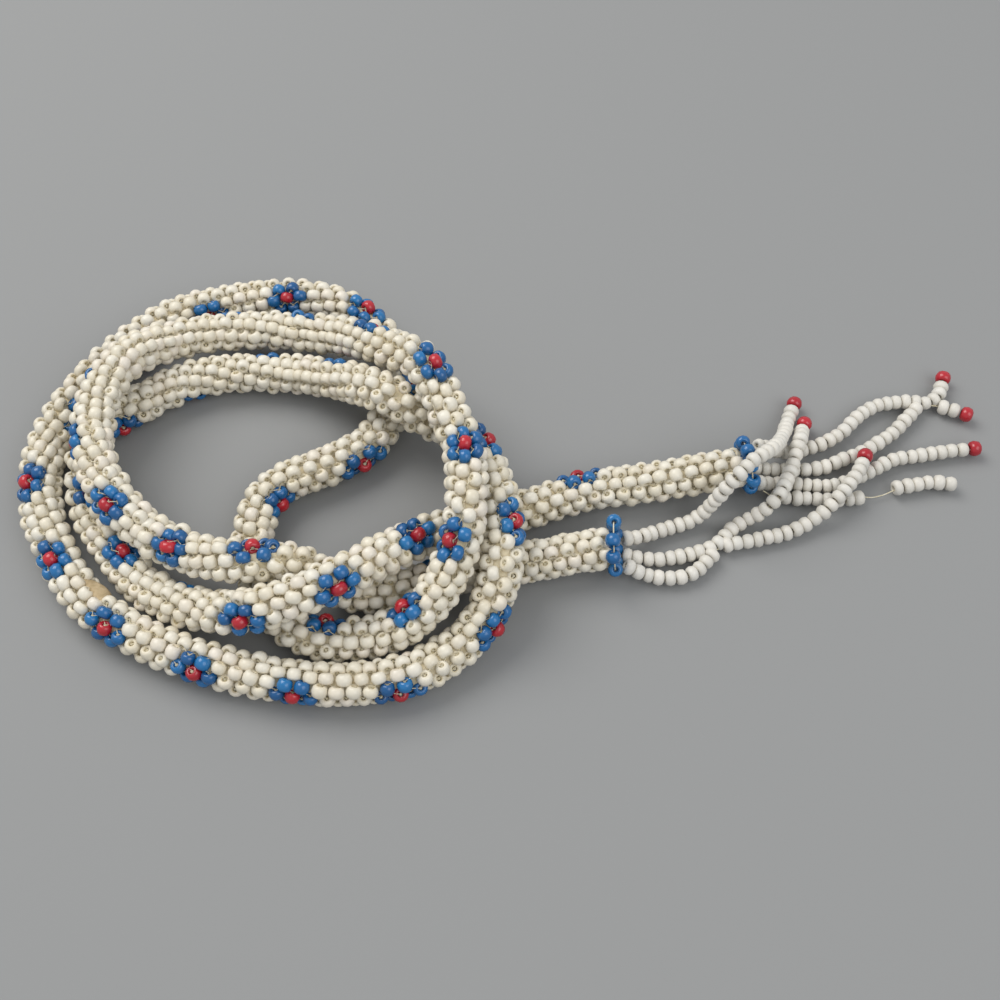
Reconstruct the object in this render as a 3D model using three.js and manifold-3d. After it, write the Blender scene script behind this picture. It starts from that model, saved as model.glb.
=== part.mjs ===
// A beaded belt: a rope woven round and round from small glass beads, lying in a loose pile of loops,
// with a flared collar of blue beads at each end and a short fringe of bead strings tipped with red.
// Millimetres, +Z up. The ends are called A and B: the rope runs from collar A to collar B.
import * as THREE from 'three';
import { mergeVertices } from 'three/addons/utils/BufferGeometryUtils.js';
import Module from 'manifold-3d';

const wasm = await Module();
wasm.setup();

// Driving dimensions
const ROPE_DIAMETER = 8.2;
const ROPE_SIDES = 10;
const ROPE_STEP = 9;
const STRING_DIAMETER = 2.8;
const STRING_SIDES = 8;
const STRING_STEP = 3.4;
const THREAD_DIAMETER = 0.9;
const THREAD_SIDES = 6;
const CLEARANCE = 0.3;
const COLLAR_BEADS = 9;
const COLLAR_BEAD_DIAMETER = 2.9;
const COLLAR_BEAD_LENGTH = 2.3;
const COLLAR_FLARE = 1;
const COLLAR_RING_DIAMETER = ROPE_DIAMETER + COLLAR_FLARE;
const COLLAR_THREAD_DIAMETER = 1.3;
const COLLAR_THREAD_SIDES = 6;
const COLLAR_HOLE = COLLAR_THREAD_DIAMETER / 2;
const TIP_BEAD_DIAMETER = 3;
const TIP_BEAD_LENGTH = 2.4;
const TIP_BEAD_HOLE = 1;
const BEAD_SIDES = 12;
const BEAD_BELLY = 0.4; // share of a bead's length that has its full diameter

// The routes of the rope's two halves, which meet at the left side of the outer turn, and of the strings
// of the fringe. x and y lie on the ground and z is the height of the middle. G is the height of the
// rope's middle where it lies on the ground.
const G = 4.2;
const ROUTE = {
  rope_a: [
    [47, 4, 6], [37, 2.5, 4.9], [27, 1, 4.2], [17, -0.5, 4.1], [7, -4, 4.1], [-6, -8.4, 4.5],
    [-13.5, -12.3, 7.4], [-19, -17.6, 11.4], [-25, -23, 14.4], [-31.9, -27.7, 15.2],
    [-38.9, -30.2, 14.3], [-45.9, -30.7, 11.4], [-53.8, -28.1, 6.9], [-61.3, -25.1, 4.7],
    [-67.8, -20.6, G], [-73.8, -13.7, G], [-79.5, -5.2, G], [-82, 3.1, G], [-82.5, 10.5, G],
    [-80.2, 16.6, G], [-74, 20.7, G], [-68.4, 25, G], [-60.7, 28.1, G], [-51.2, 28.8, G],
    [-41.6, 27.7, 5.1], [-32.7, 23.3, 9], [-26.8, 19, 12.5], [-20.8, 15.4, 13.8], [-15.3, 13, 10.5],
    [-10.5, 11.7, 8.4], [-5.6, 8, 8.4], [-2.9, 2, 10.5], [-0.9, -6.2, 12.7], [0.5, -14.6, 13],
    [0.3, -20.9, 12.5], [-0.8, -25.6, 9.7], [-3.4, -30.3, 5.9], [-8.5, -35.1, 4.5], [-16.3, -39.7, G],
    [-27.1, -41.5, G], [-37.7, -40.9, G], [-48.8, -38.6, G], [-58.1, -35.7, G], [-67.6, -31.3, G],
    [-76.5, -25.3, G], [-83.8, -16, G], [-88.7, -6.6, G], [-90.6, -0.5, G], [-90.9, 2, G],
  ],
  rope_b: [
    [-90.9, 2, G], [-91.2, 4.5, G], [-90.9, 12.3, G], [-87.6, 22.6, G], [-81.8, 32.6, G],
    [-74.7, 40.6, G], [-67, 45.5, G], [-56.5, 48.5, G], [-43.5, 49.5, G], [-32.8, 46.2, G],
    [-26.4, 40, G], [-22.5, 34.8, G], [-20.6, 29.5, G], [-20.9, 22.9, G], [-23.3, 16.1, G],
    [-27, 10, G], [-34, 5.5, G], [-41.5, 2, G], [-46, -2.5, G], [-47.5, -8.9, 4.3],
    [-46.5, -15.9, 4.3], [-44.1, -22.9, 4.3], [-39.6, -28.9, 4.3], [-33.6, -32.4, 4.3],
    [-26.6, -32.8, 4.4], [-19.1, -31.8, 6.1], [-13.1, -28.6, 10], [-9.2, -23.8, 13.2], [-7, -19, 16.8],
    [-6.3, -13.4, 19.1], [-6.2, -6.5, 19.6], [-6.8, 0.4, 18.6], [-9.5, 6.5, 19.4], [-11.8, 13.3, 19.8],
    [-15.3, 20, 19.1], [-20, 24.6, 16.4], [-25.5, 29.7, 12.7], [-33.3, 35, 8.8], [-42.3, 37.7, 6.7],
    [-52.9, 38.7, 6.2], [-63.4, 36.6, 7.1], [-71.4, 31.6, 10.1], [-75.9, 24.6, 13.5],
    [-78.5, 16.5, 14], [-79, 9.5, 14], [-78, 2.5, 14], [-74.5, -5, 13.4], [-69.5, -11, 12.4],
    [-64, -15, 10.9], [-57.5, -18, 10.9], [-49.5, -21, 12.9], [-43, -21.6, 13.7], [-37.3, -21.1, 11.4],
    [-32, -22.1, 6.9], [-26, -23.1, G], [-19.4, -22.9, G], [-12.9, -20.8, G], [-4, -18.1, G],
    [5.5, -16.5, G], [13.5, -15.3, 5.2], [20, -14.3, 6],
  ],
  a_net: [
    [51.6, 8.6, 6.6], [53.8, 9.3, 5], [56.6, 10, 2.5], [60.3, 10.9, 1.5], [64.7, 12.1, 1.5], [69.6, 14.8, 1.5],
    [73.1, 18.4, 1.5], [76.8, 21.4, 1.5], [81.2, 22.9, 1.5], [85.7, 23.2, 1.5], [88.6, 23, 1.5],
    [91.2, 24, 1.7], [92.4, 26, 1.6], [93.2, 28, 1.6],
  ],
  a_net_join: [
    [51.3, 5.9, 2.7], [53.8, 6, 1.9], [57.6, 6.1, 1.5], [61.7, 6.3, 1.5], [65.6, 6.9, 1.5], [69.5, 8.7, 1.5],
    [73.7, 10.6, 1.5], [77.8, 13.1, 1.5], [81.2, 15.8, 1.5], [84.4, 19, 1.5], [87.5, 22.2, 1.5],
    [90.5, 22.2, 1.5], [93, 21.5, 1.6], [95.4, 20.5, 1.6],
  ],
  a_strand: [
    [51.7, 2.1, 3], [54, 2.6, 1.9], [57.5, 2.8, 1.5], [62.4, 2.4, 1.5], [66.9, 2.5, 1.5], [71, 4, 1.5],
    [75, 6.1, 1.5], [79.7, 8.6, 1.5], [85.3, 9.7, 1.5], [90.8, 10.7, 1.6], [95.2, 11.2, 1.6],
  ],
  a_frayed: [
    [52, -1, 4.6], [54.2, -0.5, 2.1], [57, -0.5, 1.6], [60.4, -0.6, 1.5], [64, -0.8, 1.5], [68.2, -0.9, 1.5],
    [72.3, -0.2, 1.5],
  ],
  a_frayed_thread: [[71.6, -0.1, 1.5], [74, 0, 0.9], [76.5, 0.7, 0.7], [78.4, 1.4, 1.1], [80, 1.9, 1.5]],
  a_frayed_end: [[79.4, 1.9, 1.5], [83.1, 2.7, 1.5], [87.4, 3.3, 1.5], [91.2, 2.6, 1.5]],
  b_strand: [
    [24.4, -10.7, 3], [27, -9.8, 2.2], [30.5, -8.3, 1.6], [34.5, -6.9, 1.6], [37.8, -5.8, 1.8], [40, -4.9, 3.6],
    [41.8, -4.3, 7.4], [43.4, -3.9, 11.2], [45.6, -2.4, 13.5], [48.4, 0.3, 14], [51.6, 3.2, 12.6],
    [54.4, 6.8, 9.6], [56.4, 10.6, 6.8], [58, 14.4, 4], [59.5, 18.4, 2.3], [60.8, 21.3, 1.8],
  ],
  b_net: [
    [24.5, -13.9, 1.9], [27.4, -14.3, 1.6], [30.6, -14.4, 1.5], [34, -13.9, 1.5], [37.5, -13, 1.5],
    [40.4, -12.1, 1.5], [42.8, -10.4, 1.5], [45, -8, 1.5], [48, -5.9, 1.6], [50.9, -5, 3.1],
    [52.8, -4.2, 5.2], [54.5, -2.4, 5.8], [56.2, 0.8, 5.3], [57.5, 3.5, 5], [59, 7.4, 5], [60.2, 10.6, 4.9],
    [61.1, 13.2, 3.8], [61.8, 15, 2.5], [62.2, 16, 2.2],
  ],
  b_net_join: [
    [24.4, -17.1, 3.2], [27.2, -17.9, 2], [30.6, -18.5, 1.5], [34, -18.4, 1.5], [37.2, -17.2, 1.5],
    [39.8, -14.8, 1.5], [42.4, -12, 1.5], [46.4, -10.7, 1.5], [50.8, -9.8, 1.5], [56.9, -8.2, 1.5],
    [61, -6.1, 2], [64.6, -3.8, 3.8], [67.2, -1.3, 4.9], [69.6, 1.5, 5], [71.4, 4.2, 4.8], [72.6, 6.6, 4.3],
  ],
};

// Colours and finishes
const IVORY_GLASS = new THREE.MeshStandardMaterial({ color: 0xe1dacb, roughness: 0.55, metalness: 0 });
const BLUE_GLASS = new THREE.MeshStandardMaterial({ color: 0x195faf, roughness: 0.2, metalness: 0 });
const RED_GLASS = new THREE.MeshStandardMaterial({ color: 0xbe1e28, roughness: 0.2, metalness: 0 });

function curveThrough(points) {
  return new THREE.CatmullRomCurve3(points.map(([x, y, z]) => new THREE.Vector3(x, y, z)), false, 'catmullrom', 0.5);
}

// A regular section with a flat side facing left and right, which turns to face down and up on the tube.
function roundSection(diameter, sides) {
  const section = new THREE.Shape();
  for (let corner = 0; corner < sides; corner += 1) {
    const angle = (2 * Math.PI * (corner + 0.5)) / sides;
    const x = (diameter / 2) * Math.cos(angle);
    const y = (diameter / 2) * Math.sin(angle);
    if (corner === 0) section.moveTo(x, y);
    else section.lineTo(x, y);
  }
  section.closePath();
  return section;
}

function tubeAlong(points, diameter, sides, step) {
  const route = curveThrough(points);
  const steps = Math.max(2, Math.round(route.getLength() / step));
  return new THREE.ExtrudeGeometry(roundSection(diameter, sides), { steps, extrudePath: route });
}

// Solid form of a closed geometry, its shared corners merged.
function toSolid(geometry) {
  const bare = geometry.clone();
  bare.deleteAttribute('normal');
  bare.deleteAttribute('uv');
  const merged = mergeVertices(bare, 1e-4);
  return new wasm.Manifold(new wasm.Mesh({
    numProp: 3,
    vertProperties: new Float32Array(merged.attributes.position.array),
    triVerts: new Uint32Array(merged.index.array),
  }));
}

function toGeometry(solid) {
  const mesh = solid.getMesh();
  const geometry = new THREE.BufferGeometry();
  geometry.setAttribute('position', new THREE.BufferAttribute(mesh.vertProperties, 3));
  geometry.setIndex(new THREE.BufferAttribute(mesh.triVerts, 1));
  return geometry;
}

function joined(geometries) {
  return toGeometry(geometries.map(toSolid).reduce((sum, solid) => sum.add(solid)));
}

// Half the gap that the two halves of the rope keep where they meet.
function shortenedAt(points, end, amount) {
  const curve = curveThrough(points);
  const along = amount / curve.getLength();
  const trimmed = points.map((point) => [...point]);
  const index = end === 'start' ? 0 : points.length - 1;
  const place = curve.getPointAt(end === 'start' ? along : 1 - along);
  trimmed[index] = [place.x, place.y, place.z];
  return trimmed;
}

function ropeHalf(points, meetingEnd) {
  return tubeAlong(shortenedAt(points, meetingEnd, CLEARANCE / 2), ROPE_DIAMETER, ROPE_SIDES, ROPE_STEP);
}

// A drilled bead, its hole along y before it is placed.
function drilledBead(diameter, length, hole) {
  const outer = diameter / 2;
  const inner = hole / 2;
  const half = length / 2;
  const shoulder = (outer + inner) / 2;
  const profile = [
    [inner, -half], [shoulder, -half], [outer, -half * BEAD_BELLY], [outer, half * BEAD_BELLY], [shoulder, half], [inner, half],
    [inner, -half],
  ].map(([radius, along]) => new THREE.Vector2(radius, along));
  return new THREE.LatheGeometry(profile, BEAD_SIDES);
}

// The turn that lays a piece's y axis along a direction.
function turnTo(direction) {
  return new THREE.Quaternion().setFromUnitVectors(new THREE.Vector3(0, 1, 0), direction.clone().normalize());
}

// The point and outward direction of a route's first or last end.
function routeEnd(points, end) {
  const curve = curveThrough(points);
  const share = end === 'start' ? 0 : 1;
  const outward = curve.getTangentAt(share).multiplyScalar(end === 'start' ? -1 : 1);
  return { place: curve.getPointAt(share), outward };
}

// The flared ring of beads that closes an end of the rope, strung on a thread that fills their holes.
function collar(route, end) {
  const { place, outward } = routeEnd(route, end);
  const centre = place.clone().addScaledVector(outward, CLEARANCE + COLLAR_BEAD_DIAMETER / 2);
  const pose = new THREE.Matrix4().compose(centre, turnTo(outward), new THREE.Vector3(1, 1, 1));
  const ringRadius = COLLAR_RING_DIAMETER / 2;
  const thread = new THREE.TorusGeometry(ringRadius, COLLAR_THREAD_DIAMETER / 2, COLLAR_THREAD_SIDES, 2 * COLLAR_BEADS);
  thread.rotateX(Math.PI / 2);
  const pieces = [thread];
  for (let index = 0; index < COLLAR_BEADS; index += 1) {
    const angle = (2 * Math.PI * (index + 0.5)) / COLLAR_BEADS;
    const bead = drilledBead(COLLAR_BEAD_DIAMETER, COLLAR_BEAD_LENGTH, COLLAR_HOLE);
    bead.rotateX(Math.PI / 2);
    bead.rotateY(-angle);
    bead.translate(ringRadius * Math.cos(angle), 0, ringRadius * Math.sin(angle));
    pieces.push(bead);
  }
  return joined(pieces).applyMatrix4(pose);
}

function string(points) {
  return tubeAlong(points, STRING_DIAMETER, STRING_SIDES, STRING_STEP);
}

function bareThread(points) {
  return tubeAlong(points, THREAD_DIAMETER, THREAD_SIDES, STRING_STEP);
}

function tipBead(route) {
  const { place, outward } = routeEnd(route, 'end');
  const centre = place.clone().addScaledVector(outward, CLEARANCE + TIP_BEAD_LENGTH / 2);
  const bead = drilledBead(TIP_BEAD_DIAMETER, TIP_BEAD_LENGTH, TIP_BEAD_HOLE);
  return bead.applyQuaternion(turnTo(outward)).translate(centre.x, centre.y, centre.z);
}

function piece(name, geometry, material) {
  const mesh = new THREE.Mesh(geometry, material);
  mesh.name = name;
  return mesh;
}

const belt = new THREE.Group();
belt.add(
  piece('beaded_rope_a', ropeHalf(ROUTE.rope_a, 'end'), IVORY_GLASS),
  piece('beaded_rope_b', ropeHalf(ROUTE.rope_b, 'start'), IVORY_GLASS),
  piece('end_collar_a', collar(ROUTE.rope_a, 'start'), BLUE_GLASS),
  piece('end_collar_b', collar(ROUTE.rope_b, 'end'), BLUE_GLASS),
  piece('fringe_a_net', joined([string(ROUTE.a_net), string(ROUTE.a_net_join)]), IVORY_GLASS),
  piece('fringe_a_strand', string(ROUTE.a_strand), IVORY_GLASS),
  piece('fringe_a_frayed', joined([
    string(ROUTE.a_frayed), bareThread(ROUTE.a_frayed_thread), string(ROUTE.a_frayed_end),
  ]), IVORY_GLASS),
  piece('fringe_b_strand', string(ROUTE.b_strand), IVORY_GLASS),
  piece('fringe_b_net', joined([string(ROUTE.b_net), string(ROUTE.b_net_join)]), IVORY_GLASS),
);
const TIPPED = {
  tip_bead_a_1: ROUTE.a_net,
  tip_bead_a_2: ROUTE.a_net_join,
  tip_bead_a_3: ROUTE.a_strand,
  tip_bead_b_1: ROUTE.b_strand,
  tip_bead_b_2: ROUTE.b_net,
  tip_bead_b_3: ROUTE.b_net_join,
};
for (const [name, route] of Object.entries(TIPPED)) belt.add(piece(name, tipBead(route), RED_GLASS));

// The origin is the middle of the belt's footprint, at the height that it rests on.
const reach = new THREE.Box3().setFromObject(belt, true);
belt.position.set(-(reach.min.x + reach.max.x) / 2, -(reach.min.y + reach.max.y) / 2, -reach.min.z);
belt.updateMatrixWorld(true);

export default belt;
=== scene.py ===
from math import cos, pi, radians, sin

import bmesh
import bpy
import numpy as np
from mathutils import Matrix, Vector


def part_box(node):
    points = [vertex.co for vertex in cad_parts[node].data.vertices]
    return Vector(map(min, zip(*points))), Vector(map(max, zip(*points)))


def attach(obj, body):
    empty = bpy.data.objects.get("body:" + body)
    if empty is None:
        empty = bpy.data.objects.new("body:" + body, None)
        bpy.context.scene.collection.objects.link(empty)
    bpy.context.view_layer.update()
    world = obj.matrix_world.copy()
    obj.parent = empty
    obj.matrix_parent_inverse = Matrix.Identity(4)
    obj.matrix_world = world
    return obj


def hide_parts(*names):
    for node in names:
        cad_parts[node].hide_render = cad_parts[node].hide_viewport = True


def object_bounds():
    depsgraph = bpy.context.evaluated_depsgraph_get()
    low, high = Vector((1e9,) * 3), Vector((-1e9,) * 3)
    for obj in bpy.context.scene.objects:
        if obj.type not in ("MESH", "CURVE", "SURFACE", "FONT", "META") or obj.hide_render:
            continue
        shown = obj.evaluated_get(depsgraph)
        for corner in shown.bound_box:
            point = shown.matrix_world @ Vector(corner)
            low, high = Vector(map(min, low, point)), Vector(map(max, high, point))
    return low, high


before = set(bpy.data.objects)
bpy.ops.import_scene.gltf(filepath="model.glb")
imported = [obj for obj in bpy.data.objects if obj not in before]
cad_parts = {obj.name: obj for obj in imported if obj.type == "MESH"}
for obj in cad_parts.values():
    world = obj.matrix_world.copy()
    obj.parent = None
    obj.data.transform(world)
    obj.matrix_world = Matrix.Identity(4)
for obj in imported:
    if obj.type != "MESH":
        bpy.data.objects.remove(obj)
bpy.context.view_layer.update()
MM = 0.001
ROOT = "root"

# The routes of the rope and the strings, in millimetres, as the part's source has them. G is the height of
# the rope's middle where it lies on the ground.
G = 4.2
ROUTE = {
    "rope_a": [
        [47, 4, 6], [37, 2.5, 4.9], [27, 1, 4.2], [17, -0.5, 4.1], [7, -4, 4.1], [-6, -8.4, 4.5],
        [-13.5, -12.3, 7.4], [-19, -17.6, 11.4], [-25, -23, 14.4], [-31.9, -27.7, 15.2],
        [-38.9, -30.2, 14.3], [-45.9, -30.7, 11.4], [-53.8, -28.1, 6.9], [-61.3, -25.1, 4.7],
        [-67.8, -20.6, G], [-73.8, -13.7, G], [-79.5, -5.2, G], [-82, 3.1, G], [-82.5, 10.5, G],
        [-80.2, 16.6, G], [-74, 20.7, G], [-68.4, 25, G], [-60.7, 28.1, G], [-51.2, 28.8, G],
        [-41.6, 27.7, 5.1], [-32.7, 23.3, 9], [-26.8, 19, 12.5], [-20.8, 15.4, 13.8],
        [-15.3, 13, 10.5], [-10.5, 11.7, 8.4], [-5.6, 8, 8.4], [-2.9, 2, 10.5], [-0.9, -6.2, 12.7],
        [0.5, -14.6, 13], [0.3, -20.9, 12.5], [-0.8, -25.6, 9.7], [-3.4, -30.3, 5.9],
        [-8.5, -35.1, 4.5], [-16.3, -39.7, G], [-27.1, -41.5, G], [-37.7, -40.9, G], [-48.8, -38.6, G],
        [-58.1, -35.7, G], [-67.6, -31.3, G], [-76.5, -25.3, G], [-83.8, -16, G], [-88.7, -6.6, G],
        [-90.6, -0.5, G], [-90.9, 2, G],
    ],
    "rope_b": [
        [-90.9, 2, G], [-91.2, 4.5, G], [-90.9, 12.3, G], [-87.6, 22.6, G], [-81.8, 32.6, G],
        [-74.7, 40.6, G], [-67, 45.5, G], [-56.5, 48.5, G], [-43.5, 49.5, G], [-32.8, 46.2, G],
        [-26.4, 40, G], [-22.5, 34.8, G], [-20.6, 29.5, G], [-20.9, 22.9, G], [-23.3, 16.1, G],
        [-27, 10, G], [-34, 5.5, G], [-41.5, 2, G], [-46, -2.5, G], [-47.5, -8.9, 4.3],
        [-46.5, -15.9, 4.3], [-44.1, -22.9, 4.3], [-39.6, -28.9, 4.3], [-33.6, -32.4, 4.3],
        [-26.6, -32.8, 4.4], [-19.1, -31.8, 6.1], [-13.1, -28.6, 10], [-9.2, -23.8, 13.2],
        [-7, -19, 16.8], [-6.3, -13.4, 19.1], [-6.2, -6.5, 19.6], [-6.8, 0.4, 18.6], [-9.5, 6.5, 19.4],
        [-11.8, 13.3, 19.8], [-15.3, 20, 19.1], [-20, 24.6, 16.4], [-25.5, 29.7, 12.7],
        [-33.3, 35, 8.8], [-42.3, 37.7, 6.7], [-52.9, 38.7, 6.2], [-63.4, 36.6, 7.1],
        [-71.4, 31.6, 10.1], [-75.9, 24.6, 13.5], [-78.5, 16.5, 14], [-79, 9.5, 14], [-78, 2.5, 14],
        [-74.5, -5, 13.4], [-69.5, -11, 12.4], [-64, -15, 10.9], [-57.5, -18, 10.9],
        [-49.5, -21, 12.9], [-43, -21.6, 13.7], [-37.3, -21.1, 11.4], [-32, -22.1, 6.9],
        [-26, -23.1, G], [-19.4, -22.9, G], [-12.9, -20.8, G], [-4, -18.1, G], [5.5, -16.5, G],
        [13.5, -15.3, 5.2], [20, -14.3, 6],
    ],
    "a_net": [
        [51.6, 8.6, 6.6], [53.8, 9.3, 5], [56.6, 10, 2.5], [60.3, 10.9, 1.5], [64.7, 12.1, 1.5],
        [69.6, 14.8, 1.5], [73.1, 18.4, 1.5], [76.8, 21.4, 1.5], [81.2, 22.9, 1.5], [85.7, 23.2, 1.5],
        [88.6, 23, 1.5], [91.2, 24, 1.7], [92.4, 26, 1.6], [93.2, 28, 1.6],
    ],
    "a_net_join": [
        [51.3, 5.9, 2.7], [53.8, 6, 1.9], [57.6, 6.1, 1.5], [61.7, 6.3, 1.5], [65.6, 6.9, 1.5],
        [69.5, 8.7, 1.5], [73.7, 10.6, 1.5], [77.8, 13.1, 1.5], [81.2, 15.8, 1.5], [84.4, 19, 1.5],
        [87.5, 22.2, 1.5], [90.5, 22.2, 1.5], [93, 21.5, 1.6], [95.4, 20.5, 1.6],
    ],
    "a_strand": [
        [51.7, 2.1, 3], [54, 2.6, 1.9], [57.5, 2.8, 1.5], [62.4, 2.4, 1.5], [66.9, 2.5, 1.5],
        [71, 4, 1.5], [75, 6.1, 1.5], [79.7, 8.6, 1.5], [85.3, 9.7, 1.5], [90.8, 10.7, 1.6],
        [95.2, 11.2, 1.6],
    ],
    "a_frayed": [
        [52, -1, 4.6], [54.2, -0.5, 2.1], [57, -0.5, 1.6], [60.4, -0.6, 1.5], [64, -0.8, 1.5],
        [68.2, -0.9, 1.5], [72.3, -0.2, 1.5],
    ],
    "a_frayed_thread": [
        [71.6, -0.1, 1.5], [74, 0, 0.9], [76.5, 0.7, 0.7], [78.4, 1.4, 1.1], [80, 1.9, 1.5],
    ],
    "a_frayed_end": [[79.4, 1.9, 1.5], [83.1, 2.7, 1.5], [87.4, 3.3, 1.5], [91.2, 2.6, 1.5]],
    "b_strand": [
        [24.4, -10.7, 3], [27, -9.8, 2.2], [30.5, -8.3, 1.6], [34.5, -6.9, 1.6], [37.8, -5.8, 1.8],
        [40, -4.9, 3.6], [41.8, -4.3, 7.4], [43.4, -3.9, 11.2], [45.6, -2.4, 13.5], [48.4, 0.3, 14],
        [51.6, 3.2, 12.6], [54.4, 6.8, 9.6], [56.4, 10.6, 6.8], [58, 14.4, 4], [59.5, 18.4, 2.3],
        [60.8, 21.3, 1.8],
    ],
    "b_net": [
        [24.5, -13.9, 1.9], [27.4, -14.3, 1.6], [30.6, -14.4, 1.5], [34, -13.9, 1.5], [37.5, -13, 1.5],
        [40.4, -12.1, 1.5], [42.8, -10.4, 1.5], [45, -8, 1.5], [48, -5.9, 1.6], [50.9, -5, 3.1],
        [52.8, -4.2, 5.2], [54.5, -2.4, 5.8], [56.2, 0.8, 5.3], [57.5, 3.5, 5], [59, 7.4, 5],
        [60.2, 10.6, 4.9], [61.1, 13.2, 3.8], [61.8, 15, 2.5], [62.2, 16, 2.2],
    ],
    "b_net_join": [
        [24.4, -17.1, 3.2], [27.2, -17.9, 2], [30.6, -18.5, 1.5], [34, -18.4, 1.5], [37.2, -17.2, 1.5],
        [39.8, -14.8, 1.5], [42.4, -12, 1.5], [46.4, -10.7, 1.5], [50.8, -9.8, 1.5], [56.9, -8.2, 1.5],
        [61, -6.1, 2], [64.6, -3.8, 3.8], [67.2, -1.3, 4.9], [69.6, 1.5, 5], [71.4, 4.2, 4.8],
        [72.6, 6.6, 4.3],
    ],
}

# The flowers along the rope: the distance of each red centre from collar A in millimetres, and its turn
# round the rope in degrees, counted from the top.
FLOWERS = [
    (31.2, 72), (50, 26), (68.9, -18), (87.3, -68), (103.6, -84), (120.5, 60), (136.3, 16), (152.7, 15),
    (175.3, 128), (191, 172), (207.2, -97), (223.6, -80), (241.5, -136), (262.2, -43), (283.1, -52),
    (301.4, -92), (320.8, -105), (338.6, -87), (356.9, -67), (375.3, -49), (393.1, -18), (412, -46),
    (428.4, 46), (450.6, 88), (470, 98), (487.8, 47), (506.1, -27), (526, -63), (546.3, -112),
    (566.1, -95), (585, -75), (603.8, -69), (622.1, -34), (638, -35), (656.4, 3), (676.2, 14),
    (699.5, 80), (714.9, 88), (730.2, 125), (745.6, 135), (760.9, 130), (776.3, 105), (792.2, 32),
    (806.6, 35), (823.4, -31), (842, -115), (860, -125),
]

# Flowers of which only some beads can be made out: the flower's number in the list above, and for each
# bead that keeps its colour the column and the rows it lies from the flower's middle.
SHOWN_PARTS = {5: {(1, -0.5), (1, 0.5)}, 12: {(1, 0.5)}, 22: {(0, 1), (1, -0.5), (1, 0.5)}}

# The bare spot on the left, where beads are missing and the core bulges out: where it is along and round
# the rope, how far it reaches each way, and how far the core stands out.
BARE_DISTANCE, BARE_TURN = 382.0, radians(72)
BARE_REACH, BARE_HALF_TURN = 3.8, radians(28)
BARE_BULGE = 1.9

# Sizes in millimetres, the number of columns round the rope, and the rows from flower to flower
ROPE_RADIUS = 4.3
BEAD_RADIUS = 1.47
BEAD_LENGTH = 2.28
HOLE_RADIUS = 0.44
RING_RADIUS = ROPE_RADIUS - BEAD_RADIUS
COLUMNS = 8
ROWS_TO_A_FLOWER = 6
END_MARGIN = 0.4
CORE_RADIUS = 2.3
THREAD_RADIUS = 0.1
HOLE_THREAD_RADIUS = 0.3
RED_STANDS_OUT = 0.15
STRING_BEAD_RADIUS = 1.55
STRING_BEAD_LENGTH = 2.08
STRING_LEAD = 0.9
COLLAR_BEAD_RADIUS = 1.45
COLLAR_BEAD_LENGTH = 2.3
COLLAR_RING_RADIUS = 4.6
CLEARANCE = 0.3
TIP_BEAD_LENGTH = 2.4
TIP_BEAD_RADIUS = 1.62
FRAYED_START = 3.0
STRINGS_APART = 1.5

# Where the blue beads sit on each collar's ring, in degrees round it, and how far collar B's ring leans
COLLAR_A_ANGLES = [20, 60, 100, 140, 180, 220, 260, 300, 340]
COLLAR_B_ANGLES = [146, 80, 42, -26, -66, -102, -138, -176]
COLLAR_B_LEAN = 0.19

# Shares of a bead's radius: the rim of its flat end, and how far from the hole the dirt and painted shade
# reach.
# Then the share of its length that thread fills, each way from the middle.
BEAD_END_RADIUS = 0.54
STAIN_AND_SHADE_REACH = 0.62
FILLED_SHARE = 0.36

# How uneven the weave is: each bead's own part, and a part that wanders from row to row
ALONG_JITTER, ALONG_WANDER = 0.09, 0.12
TURN_JITTER, TURN_WANDER = radians(1.3), radians(2.2)
ROLL_JITTER, ROLL_WANDER = radians(7), radians(13)
YAW_JITTER, YAW_WANDER = radians(6), radians(6)
LIFT_JITTER, LIFT_WANDER = 0.06, 0.08

# On the inside of a bend the beads push each other in and out by a share of what they lack in room
MOST_CROWDING, CROWDING_LIFT = 0.8, 0.45
random = np.random.default_rng(11)


# Routes: a smooth curve through each list of points, measured along its length

def smooth_route(points, steps=24):
    """Closely spaced points of the curve through a route's points, in millimetres."""
    knots = np.array(points, float)
    knots = np.vstack([2 * knots[0] - knots[1], knots, 2 * knots[-1] - knots[-2]])
    share = np.linspace(0, 1, steps, endpoint=False)[:, None]
    stretches = []
    for before, start, end, after in zip(knots, knots[1:], knots[2:], knots[3:]):
        stretches.append(0.5 * (2 * start + (end - before) * share
                                + (2 * before - 5 * start + 4 * end - after) * share ** 2
                                + (3 * start - before - 3 * end + after) * share ** 3))
    return np.vstack(stretches + [knots[-2:-1]])


class Line:
    """A route that gives its place, direction, upward and sideways directions at any distance along it."""

    def __init__(self, points):
        self.points = smooth_route(points)
        steps = np.linalg.norm(np.diff(self.points, axis=0), axis=1)
        self.distance = np.concatenate([[0], np.cumsum(steps)])
        self.length = self.distance[-1]
        ahead = np.gradient(self.points, axis=0)
        self.ahead = ahead / np.linalg.norm(ahead, axis=1)[:, None]

    def at(self, distance):
        distance = np.atleast_1d(distance)
        inside = np.clip(distance, 0, self.length)
        place = np.stack([np.interp(inside, self.distance, self.points[:, k]) for k in range(3)], axis=1)
        ahead = np.stack([np.interp(inside, self.distance, self.ahead[:, k]) for k in range(3)], axis=1)
        ahead /= np.linalg.norm(ahead, axis=1)[:, None]
        place = place + ahead * (distance - inside)[:, None]
        up = np.array([0.0, 0.0, 1.0]) - ahead * ahead[:, 2:3]
        up /= np.linalg.norm(up, axis=1)[:, None]
        return place, ahead, up, np.cross(ahead, up)


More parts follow.
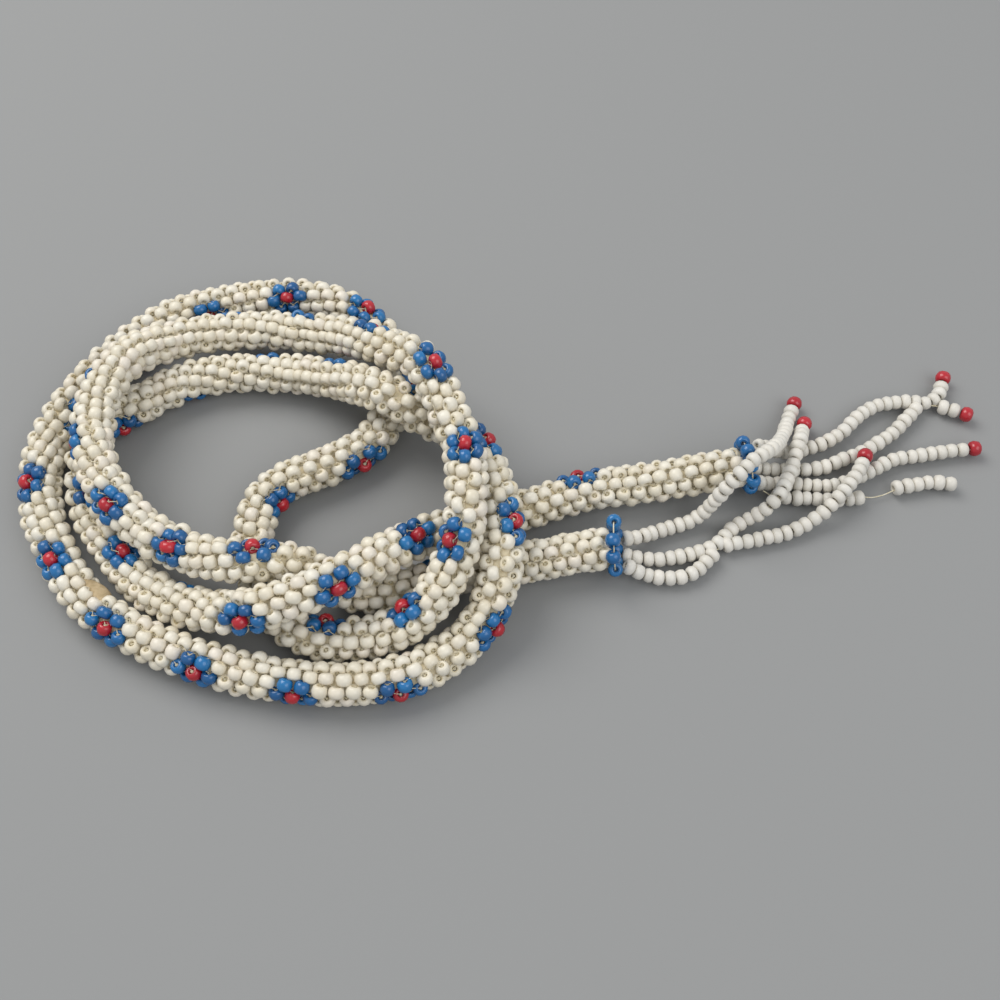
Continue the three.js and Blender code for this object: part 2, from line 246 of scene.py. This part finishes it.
rope = Line(ROUTE["rope_a"] + ROUTE["rope_b"][1:])
half_length = Line(ROUTE["rope_a"]).length
strings = {name: Line(points) for name, points in ROUTE.items() if not name.startswith("rope")}


def frame_shift():
    """From the routes' millimetres to the frame's, found from a tip bead past its string's end."""
    low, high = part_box("tip_bead_b_1")
    place, ahead, _, _ = strings["b_strand"].at(strings["b_strand"].length)
    centre = place[0] + ahead[0] * (CLEARANCE + TIP_BEAD_LENGTH / 2)
    return np.array((low + high) / 2) / MM - centre


SHIFT = frame_shift()


# Beads: one drilled bead is turned on a lathe, then copied into a joined mesh

def turned_bead(sides=12):
    """A bead of radius 1 and half length 1, its hole along x: its corners, faces and how near the hole."""
    hole = HOLE_RADIUS / BEAD_RADIUS
    half = [(hole, 0.82), (BEAD_END_RADIUS, 1.0), (0.87, 0.69)]
    outline = [(radius, -along) for radius, along in half] + [(1.0, 0.0)] + half[::-1]
    mesh = bmesh.new()
    corners = [mesh.verts.new((along, 0, radius)) for radius, along in outline]
    edges = [mesh.edges.new(pair) for pair in zip(corners, corners[1:] + corners[:1])]
    bmesh.ops.spin(mesh, geom=corners + edges, cent=(0, 0, 0), axis=(1, 0, 0), angle=2 * pi, steps=sides,
                   use_merge=True)
    bmesh.ops.remove_doubles(mesh, verts=mesh.verts, dist=1e-5)
    bmesh.ops.recalc_face_normals(mesh, faces=mesh.faces)
    mesh.verts.index_update()
    places = np.array([corner.co for corner in mesh.verts])
    faces = np.array([[corner.index for corner in face.verts] for face in mesh.faces])
    mesh.free()
    radius = np.hypot(places[:, 1], places[:, 2])
    # The share near the hole sets where the dirt and painted shade darken the bead.
    return places, faces, np.clip((STAIN_AND_SHADE_REACH - radius) / (STAIN_AND_SHADE_REACH - hole), 0, 1)


BEAD = turned_bead()


def joined_beads(name, beads, material, nodes, seed):
    """One mesh of many beads, each a centre, a hole direction, a radius and a length in millimetres."""
    chance = np.random.default_rng(seed)
    corners, faces, near_hole = BEAD
    centres, holes, radii, lengths = (np.array([bead[k] for bead in beads]) for k in range(4))
    holes = holes / np.linalg.norm(holes, axis=1)[:, None]
    spin = chance.normal(size=holes.shape)
    across = np.cross(holes, spin)
    across /= np.linalg.norm(across, axis=1)[:, None]
    third = np.cross(holes, across)
    count = len(beads)
    places = (centres[:, None, :]
              + corners[None, :, 0:1] * (lengths / 2)[:, None, None] * holes[:, None, :]
              + corners[None, :, 1:2] * radii[:, None, None] * across[:, None, :]
              + corners[None, :, 2:3] * radii[:, None, None] * third[:, None, :])
    places = (places.reshape(-1, 3) + SHIFT) * MM
    all_faces = (faces[None] + (np.arange(count) * len(corners))[:, None, None]).reshape(-1, 4)
    mesh = bpy.data.meshes.new(name)
    mesh.from_pydata(places.tolist(), [], all_faces.tolist())
    mesh.polygons.foreach_set("use_smooth", [True] * len(all_faces))
    tone = mesh.attributes.new("tone", "FLOAT", "POINT")
    tone.data.foreach_set("value", np.repeat(chance.random(count), len(corners)))
    hole = mesh.attributes.new("hole", "FLOAT", "POINT")
    hole.data.foreach_set("value", np.tile(near_hole, count))
    mesh.update()
    return finished(name, mesh, material, nodes)


def finished(name, mesh, material, nodes):
    """The mesh as a piece of the belt, with its material and the solids it stands for."""
    piece = bpy.data.objects.new(name, mesh)
    bpy.context.scene.collection.objects.link(piece)
    mesh.materials.append(material)
    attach(piece, ROOT)
    if nodes:
        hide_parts(*nodes)
    return piece


def joined_tubes(name, runs, radius, sides, material, nodes=()):
    """One mesh of round strands with closed ends. The radius is one number, or one for each point."""
    all_places, all_faces = [], []
    turn = 2 * pi * np.arange(sides) / sides
    start = 0
    for run in runs:
        run = np.asarray(run, float)
        ahead = np.gradient(run, axis=0)
        ahead /= np.linalg.norm(ahead, axis=1)[:, None]
        helper = np.array([0.13, 0.29, 0.95])
        across = np.cross(ahead, helper)
        across /= np.linalg.norm(across, axis=1)[:, None]
        third = np.cross(ahead, across)
        round_it = (np.cos(turn)[None, :, None] * across[:, None, :]
                    + np.sin(turn)[None, :, None] * third[:, None, :])
        reach = np.broadcast_to(radius, len(run))[:, None, None]
        all_places.append((run[:, None, :] + reach * round_it).reshape(-1, 3))
        for step in range(len(run) - 1):
            low = start + step * sides
            for k in range(sides):
                after = (k + 1) % sides
                all_faces.append((low + k, low + after, low + sides + after, low + sides + k))
        all_faces.append(tuple(start + k for k in reversed(range(sides))))
        last = start + (len(run) - 1) * sides
        all_faces.append(tuple(last + k for k in range(sides)))
        start = last + sides
    places = (np.vstack(all_places) + SHIFT) * MM
    mesh = bpy.data.meshes.new(name)
    mesh.from_pydata(places.tolist(), [], all_faces)
    mesh.polygons.foreach_set("use_smooth", [True] * len(all_faces))
    mesh.update()
    return finished(name, mesh, material, nodes)


# Finishes

def new_material(name):
    material = bpy.data.materials.new(name)
    material.use_nodes = True
    nodes, links = material.node_tree.nodes, material.node_tree.links
    return material, nodes, links, nodes["Principled BSDF"]


def attribute(nodes, name):
    node = nodes.new("ShaderNodeAttribute")
    node.attribute_name = name
    return node


def noise(nodes, links, scale, detail=3.0):
    place = nodes.new("ShaderNodeTexCoord")
    texture = nodes.new("ShaderNodeTexNoise")
    texture.inputs["Scale"].default_value = scale
    texture.inputs["Detail"].default_value = detail
    links.new(place.outputs["Object"], texture.inputs["Vector"])
    return texture


def ramp(nodes, links, source, stops):
    node = nodes.new("ShaderNodeValToRGB")
    elements = node.color_ramp.elements
    while len(elements) < len(stops):
        elements.new(0.5)
    for element, (position, colour) in zip(elements, stops):
        element.position = position
        element.color = (*colour, 1) if isinstance(colour, tuple) else (colour, colour, colour, 1)
    links.new(source, node.inputs["Fac"])
    return node.outputs["Color"]


def mixed(nodes, links, factor, first, second, blend="MIX"):
    node = nodes.new("ShaderNodeMix")
    node.data_type = "RGBA"
    node.blend_type = blend
    sockets = (node.inputs["Factor"], node.inputs[6], node.inputs[7])
    for socket, value in zip(sockets, (factor, first, second)):
        if hasattr(value, "links"):
            links.new(value, socket)
        else:
            socket.default_value = (*value, 1) if isinstance(value, tuple) else value
    return node.outputs[2]


def bump(nodes, links, shader, texture, strength, distance):
    node = nodes.new("ShaderNodeBump")
    node.inputs["Strength"].default_value = strength
    node.inputs["Distance"].default_value = distance
    links.new(texture.outputs["Fac"], node.inputs["Height"])
    links.new(node.outputs["Normal"], shader.inputs["Normal"])


def product(nodes, links, first, second):
    node = nodes.new("ShaderNodeMath")
    node.operation = "MULTIPLY"
    links.new(first, node.inputs[0])
    if hasattr(second, "links"):
        links.new(second, node.inputs[1])
    else:
        node.inputs[1].default_value = second
    return node.outputs[0]


def bead_glass(name, tones, hole_stain_and_shade_colour, stain_and_shade_share, roughness, coat):
    """Opaque glass whose colour differs from bead to bead, with old dirt and painted shade darkening it in
    and round the holes.
    """
    material, nodes, links, shader = new_material(name)
    colour = ramp(nodes, links, attribute(nodes, "tone").outputs["Fac"], tones)
    cloud = noise(nodes, links, 700.0)
    clouding = ramp(nodes, links, cloud.outputs["Fac"], [(0.3, 0.9), (0.7, 1.0)])
    colour = mixed(nodes, links, 1.0, colour, clouding, "MULTIPLY")
    patches = ramp(nodes, links, noise(nodes, links, 160.0).outputs["Fac"], [(0.35, 0.25), (0.7, 1.0)])
    # The darker tint near the holes is partly old dirt and partly painted shade in each hole's recess.
    stain_and_shade = product(nodes, links, attribute(nodes, "hole").outputs["Fac"], patches)
    colour = mixed(nodes, links, product(nodes, links, stain_and_shade, stain_and_shade_share), colour, hole_stain_and_shade_colour)
    links.new(colour, shader.inputs["Base Color"])
    shader.inputs["Roughness"].default_value = roughness
    shader.inputs["Coat Weight"].default_value = coat
    shader.inputs["Coat Roughness"].default_value = 0.12
    bump(nodes, links, shader, noise(nodes, links, 2600.0), 0.25, 0.00004)
    return material


def fibre(name, dark, light, scale, roughness=0.85):
    """Cotton: fine twisted fibres, light and dark."""
    material, nodes, links, shader = new_material(name)
    twist = noise(nodes, links, scale, 4.0)
    colour = ramp(nodes, links, twist.outputs["Fac"], [(0.3, dark), (0.7, light)])
    links.new(colour, shader.inputs["Base Color"])
    shader.inputs["Roughness"].default_value = roughness
    bump(nodes, links, shader, twist, 0.5, 0.0001)
    return material


IVORY = [
    (0.0, (0.80, 0.755, 0.645)), (0.4, (0.78, 0.725, 0.595)),
    (0.75, (0.755, 0.69, 0.545)), (1.0, (0.80, 0.735, 0.63)),
]
CHALK = [(0.0, (0.74, 0.715, 0.65)), (0.5, (0.69, 0.66, 0.59)), (1.0, (0.77, 0.735, 0.66))]
BLUE = [(0.0, (0.006, 0.090, 0.26)), (0.6, (0.009, 0.135, 0.36)), (1.0, (0.013, 0.17, 0.42))]
RED = [(0.0, (0.38, 0.010, 0.020)), (1.0, (0.52, 0.017, 0.029))]
# The third colour of each glass is the darker tint round its holes: partly dirt, partly painted shade.
ivory_glass = bead_glass("ivory_glass", IVORY, (0.58, 0.47, 0.24), 0.8, 0.42, 0.15)
chalk_glass = bead_glass("chalk_white_glass", CHALK, (0.50, 0.43, 0.29), 0.6, 0.5, 0.1)
blue_glass = bead_glass("blue_glass", BLUE, (0.004, 0.03, 0.12), 0.5, 0.25, 0.3)
red_glass = bead_glass("red_glass", RED, (0.12, 0.004, 0.006), 0.5, 0.25, 0.3)
cream_thread = fibre("cream_thread", (0.55, 0.47, 0.28), (0.80, 0.75, 0.60), 3000.0)
cream_core = fibre("cream_core_cord", (0.50, 0.42, 0.26), (0.70, 0.62, 0.45), 900.0)
tan_core = fibre("tan_core_cord", (0.34, 0.25, 0.13), (0.56, 0.44, 0.27), 900.0)


# The woven rope

def chart_rows():
    """Row number, distance along and turn of the flowers' column, from one end of the rope to the other."""
    rows = ROWS_TO_A_FLOWER * np.arange(len(FLOWERS))
    distance = np.array([flower[0] for flower in FLOWERS], float)
    turn = np.unwrap(np.radians([flower[1] for flower in FLOWERS]))
    pitch_a = (distance[1] - distance[0]) / ROWS_TO_A_FLOWER
    pitch_b = (distance[-1] - distance[-2]) / ROWS_TO_A_FLOWER
    before = round((distance[0] - END_MARGIN) / pitch_a)
    after = round((rope.length - END_MARGIN - distance[-1]) / pitch_b)
    rows = np.concatenate([[-before], rows, [rows[-1] + after]])
    distance = np.concatenate([[END_MARGIN], distance, [rope.length - END_MARGIN]])
    turn = np.concatenate([[turn[0]], turn, [turn[-1]]])
    return rows, distance, turn


def smoothed(values, width):
    padded = np.concatenate([np.full(width, values[0]), values, np.full(width, values[-1])])
    slope_start, slope_end = values[1] - values[0], values[-1] - values[-2]
    padded[:width] = values[0] - slope_start * np.arange(width, 0, -1)
    padded[-width:] = values[-1] + slope_end * np.arange(1, width + 1)
    kernel = np.ones(2 * width + 1) / (2 * width + 1)
    return np.convolve(padded, kernel, "valid")


def wander(count, reach, step):
    """A slowly wandering value for each row: random knots, joined smoothly."""
    knots = random.normal(size=count // step + 3) * reach
    where = np.arange(count) / step
    low = where.astype(int)
    share = (1 - np.cos(pi * (where - low))) / 2
    return knots[low] * (1 - share) + knots[low + 1] * share


def rope_beads():
    """Every bead of the rope as a record with its colour, place, hole direction and column and row."""
    rows, distance, turn = chart_rows()
    fine = np.arange(rows[0], rows[-1] + 0.25, 0.5)
    distance = smoothed(np.interp(fine, rows, distance), 3)
    turn = smoothed(np.interp(fine, rows, turn), 4)
    beads = []
    for column in range(COLUMNS):
        offset = 0.5 * (column % 2)
        levels = np.arange(rows[0] + offset, rows[-1] + 0.01, 1.0)
        along = np.interp(levels, fine, distance)
        angle = np.interp(levels, fine, turn) + 2 * pi * column / COLUMNS
        count = len(levels)
        along = along + random.normal(0, ALONG_JITTER, count) + wander(count, ALONG_WANDER, 5)
        angle = angle + random.normal(0, TURN_JITTER, count) + wander(count, TURN_WANDER, 7)
        roll = wander(count, ROLL_WANDER, 4) + random.normal(0, ROLL_JITTER, count)
        yaw = wander(count, YAW_WANDER, 5) + random.normal(0, YAW_JITTER, count)
        place, ahead, up, side = rope.at(along)
        outward = np.cos(angle)[:, None] * up + np.sin(angle)[:, None] * side
        around = -np.sin(angle)[:, None] * up + np.cos(angle)[:, None] * side
        centres = place + outward * RING_RADIUS
        spacing = np.linalg.norm(np.diff(centres, axis=0), axis=1)
        spacing = np.minimum(np.append(spacing, spacing[-1]), np.insert(spacing, 0, spacing[0]))
        crowding = np.clip(2 * BEAD_RADIUS - spacing, 0, MOST_CROWDING)
        lift = np.where(np.arange(count) % 2 == 0, 1, -1) * crowding * CROWDING_LIFT
        lift = lift + random.normal(0, LIFT_JITTER, count) + wander(count, LIFT_WANDER, 5)
        centres = place + outward * (RING_RADIUS + lift)[:, None]
        hole = (np.cos(roll) * np.cos(yaw))[:, None] * around + np.sin(roll)[:, None] * outward
        hole = hole + np.sin(yaw)[:, None] * ahead
        radius = BEAD_RADIUS * np.clip(1 + 0.04 * random.normal(size=count), 0.92, 1.07)
        length = BEAD_LENGTH * np.clip(1 + 0.06 * random.normal(size=count), 0.85, 1.15)
        for k, level in enumerate(levels):
            if in_bare_spot(along[k], angle[k]):
                continue
            colour = flower_colour(level, column)
            centre = centres[k]
            if colour == "red":
                centre = centre + outward[k] * RED_STANDS_OUT
            beads.append({"colour": colour, "column": column, "level": float(level), "along": along[k],
                          "centre": centre, "hole": hole[k] / np.linalg.norm(hole[k]),
                          "radius": radius[k] * (1.05 if colour == "red" else 1), "length": length[k]})
    return beads


def in_bare_spot(along, angle):
    round_it = (angle - BARE_TURN + pi) % (2 * pi) - pi
    return abs(along - BARE_DISTANCE) < BARE_REACH and abs(round_it) < BARE_HALF_TURN


def flower_colour(level, column):
    """A red bead with six blue ones round it, once every few rows on the first column."""
    within = (level + ROWS_TO_A_FLOWER / 2) % ROWS_TO_A_FLOWER - ROWS_TO_A_FLOWER / 2
    last = ROWS_TO_A_FLOWER * (len(FLOWERS) - 1)
    if level < -1.2 or level > last + 1.2:
        return "white"
    shown = SHOWN_PARTS.get(round(level / ROWS_TO_A_FLOWER))
    if shown is not None and (column, within) not in shown:
        return "white"
    if column == 0 and abs(within) < 0.1:
        return "red"
    if column == 0 and abs(abs(within) - 1) < 0.1:
        return "blue"
    if column in (1, COLUMNS - 1) and abs(abs(within) - 0.5) < 0.1:
        return "blue"
    return "white"


def as_bead(bead):
    return bead["centre"], bead["hole"], bead["radius"], bead["length"]


def make_rope():
    beads = rope_beads()
    halves = {"a": [b for b in beads if b["along"] < half_length],
              "b": [b for b in beads if b["along"] >= half_length]}
    for name, members in halves.items():
        white = sorted((b for b in members if b["colour"] == "white"), key=lambda b: b["along"])
        middle = len(white) // 2
        for number, share in enumerate((white[:middle], white[middle:]), start=1):
            seed = (20 if name == "a" else 30) + number
            joined_beads(f"white_beads_{name}_{number}", [as_bead(b) for b in share], ivory_glass,
                         [f"beaded_rope_{name}"], seed)
    for colour, material, slot in (("blue", blue_glass, "blue_beads"), ("red", red_glass, "red_beads")):
        some = [as_bead(b) for b in beads if b["colour"] == colour]
        joined_beads(f"flower_{colour}_beads", some, material, [], 50)
    make_weaving_thread(beads)
    core = rope.at(np.arange(END_MARGIN, rope.length - END_MARGIN, 1.5))[0]
    joined_tubes("rope_core", [core], CORE_RADIUS, 12, cream_core)
    make_bare_core()


def make_bare_core():
    """The core where it bulges out between the beads of the bare spot."""
    along = BARE_DISTANCE + np.linspace(-2 * BARE_REACH, 2 * BARE_REACH, 25)
    core, _, up, side = rope.at(along)
    bulge = np.exp(-((along - BARE_DISTANCE) / BARE_REACH) ** 2)[:, None]
    core = core + bulge * BARE_BULGE * (cos(BARE_TURN) * up + sin(BARE_TURN) * side)
    joined_tubes("bare_core", [core], CORE_RADIUS * (0.9 + 0.12 * bulge[:, 0]), 16, tan_core)


def make_weaving_thread(beads):
    """The thread that fills each bead's hole and runs on to the holes of the two beads beside it."""
    by_place = {(b["column"], b["level"]): b for b in beads}
    links, fillings = [], []
    for (column, level), bead in by_place.items():
        reach = bead["hole"] * bead["length"] * FILLED_SHARE
        fillings.append([bead["centre"] - reach, bead["centre"] + reach])
        leaving = bead["centre"] + reach
        for step in (-0.5, 0.5):
            beside = by_place.get(((column + 1) % COLUMNS, level + step))
            if beside is None:
                continue
            arriving = beside["centre"] - beside["hole"] * beside["length"] * FILLED_SHARE
            links.append([leaving, (leaving + arriving) / 2, arriving])
    joined_tubes("weaving_thread", links, THREAD_RADIUS, 4, cream_thread)
    joined_tubes("hole_thread", fillings, HOLE_THREAD_RADIUS, 6, cream_thread)


# Collars, strings and tips

def turned_to(direction):
    """The turn that lays a bead ring's y axis along a direction."""
    return np.array(Vector((0, 1, 0)).rotation_difference(Vector(direction)).to_matrix())


def make_collar(name, start, lean, angles):
    """The ring of blue beads at one end of the rope. A leaning ring isn't quite square to the rope."""
    place, ahead, _, side = rope.at(0 if start else rope.length)
    outward = -ahead[0] if start else ahead[0]
    centre = place[0] + outward * (CLEARANCE + COLLAR_BEAD_RADIUS)
    turn = turned_to(outward + lean * side[0])
    beads, ring = [], []
    for angle in np.radians(angles):
        spot = turn @ np.array([cos(angle), 0, sin(angle)]) * COLLAR_RING_RADIUS
        hole = turn @ np.array([-sin(angle), random.normal(0, 0.16), cos(angle)])
        moved = centre + spot + random.normal(0, 0.1, 3)
        radius = COLLAR_BEAD_RADIUS * random.normal(1.03, 0.02)
        length = COLLAR_BEAD_LENGTH * random.normal(1, 0.04)
        beads.append((moved, hole, radius, length))
    for angle in np.linspace(0, 2 * pi, 37):
        ring.append(centre + turn @ np.array([cos(angle), 0, sin(angle)]) * COLLAR_RING_RADIUS)
    joined_beads(f"collar_{name}_beads", beads, blue_glass, [f"end_collar_{name}"], 71)
    joined_tubes(f"collar_{name}_thread", [ring], THREAD_RADIUS * 1.3, 6, cream_thread)


def string_beads(line, taken, bare):
    """Beads close together past a string's bare start, but none where another string's beads lie."""
    lengths = STRING_BEAD_LENGTH * np.clip(random.normal(1, 0.07, 80), 0.86, 1.16)
    ends = np.cumsum(lengths)
    count = int(np.argmin(abs(ends - line.length - STRING_LEAD))) + 1
    stretch = (line.length + STRING_LEAD) / ends[count - 1]
    beads = []
    for length, end in zip(lengths[:count] * stretch, ends[:count] * stretch - STRING_LEAD):
        place, ahead, _, _ = line.at(end - length / 2)
        centre = place[0] + random.normal(0, 0.05, 3)
        hole = ahead[0] + random.normal(0, 0.06, 3)
        radius = STRING_BEAD_RADIUS * np.clip(random.normal(1, 0.035), 0.93, 1.06)
        clear = all(np.linalg.norm(centre - other[0]) > STRINGS_APART for other in taken)
        if clear and end - length > bare - 0.01:
            beads.append((centre, hole, radius, length * 0.985))
    return beads


def make_fringe():
    pieces = {
        "fringe_a_net": ("a_net", "a_net_join"),
        "fringe_a_strand": ("a_strand",),
        "fringe_a_frayed": ("a_frayed", "a_frayed_end"),
        "fringe_b_strand": ("b_strand",),
        "fringe_b_net": ("b_net", "b_net_join"),
    }
    for seed, (node, names) in enumerate(pieces.items(), start=90):
        beads = []
        for name in names:
            bare = FRAYED_START if name == "a_frayed" else -STRING_LEAD
            beads += string_beads(strings[name], taken=beads, bare=bare)
        joined_beads(f"{node}_beads", beads, chalk_glass, [node], seed)
    runs = [line.at(np.arange(-0.6, line.length + 0.6, 0.8))[0] for line in strings.values()]
    joined_tubes("fringe_thread", runs, THREAD_RADIUS * 1.2, 6, cream_thread)


def make_tips():
    tipped = {"tip_bead_a_1": "a_net", "tip_bead_a_2": "a_net_join", "tip_bead_a_3": "a_strand",
              "tip_bead_b_1": "b_strand", "tip_bead_b_2": "b_net", "tip_bead_b_3": "b_net_join"}
    for seed, (node, name) in enumerate(tipped.items(), start=120):
        line = strings[name]
        place, ahead, _, _ = line.at(line.length)
        centre = place[0] + ahead[0] * (CLEARANCE + TIP_BEAD_LENGTH / 2)
        tip = (centre, ahead[0], TIP_BEAD_RADIUS, TIP_BEAD_LENGTH)
        joined_beads(f"{node}_glass", [tip], red_glass, [node], seed)


# Floor, lights and camera

def make_stage():
    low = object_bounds()[0]
    bpy.ops.mesh.primitive_plane_add(size=4, location=(0, 0, low[2] - 0.00002))
    floor = bpy.context.object
    floor.name = "floor"
    material, nodes, links, shader = new_material("pale_floor")
    shader.inputs["Base Color"].default_value = (0.265, 0.268, 0.265, 1)
    shader.inputs["Roughness"].default_value = 0.8
    floor.data.materials.append(material)


def add_light(name, place, size, power, colour):
    data = bpy.data.lights.new(name, "AREA")
    data.shape = "DISK"
    data.size = size
    data.energy = power
    data.color = colour
    light = bpy.data.objects.new(name, data)
    light.location = place
    light.rotation_euler = (-Vector(place)).to_track_quat("-Z", "Y").to_euler()
    bpy.context.scene.collection.objects.link(light)


def make_lights():
    add_light("window", (-0.45, 0.35, 0.75), 0.7, 5.6, (1, 0.985, 0.96))
    add_light("room", (0.5, -0.4, 0.7), 0.8, 3.0, (0.97, 0.985, 1))
    world = bpy.data.worlds.new("studio")
    world.use_nodes = True
    world.node_tree.nodes["Background"].inputs["Color"].default_value = (0.95, 0.965, 1, 1)
    world.node_tree.nodes["Background"].inputs["Strength"].default_value = 0.60
    bpy.context.scene.world = world


def make_camera():
    data = bpy.data.cameras.new("camera")
    data.sensor_width = 36
    data.lens = 43.92
    data.clip_start = 0.01
    camera = bpy.data.objects.new("camera", data)
    camera.location = [(value + shift) * MM for value, shift in zip((0, -129.3, 206.9), SHIFT)]
    camera.rotation_euler = (radians(32), 0, 0)
    bpy.context.scene.collection.objects.link(camera)
    bpy.context.scene.camera = camera


make_camera()
make_rope()
make_collar("a", True, 0.0, COLLAR_A_ANGLES)
make_collar("b", False, COLLAR_B_LEAN, COLLAR_B_ANGLES)
make_fringe()
make_tips()
make_stage()
make_lights()
bpy.context.scene.view_settings.view_transform = "Standard"
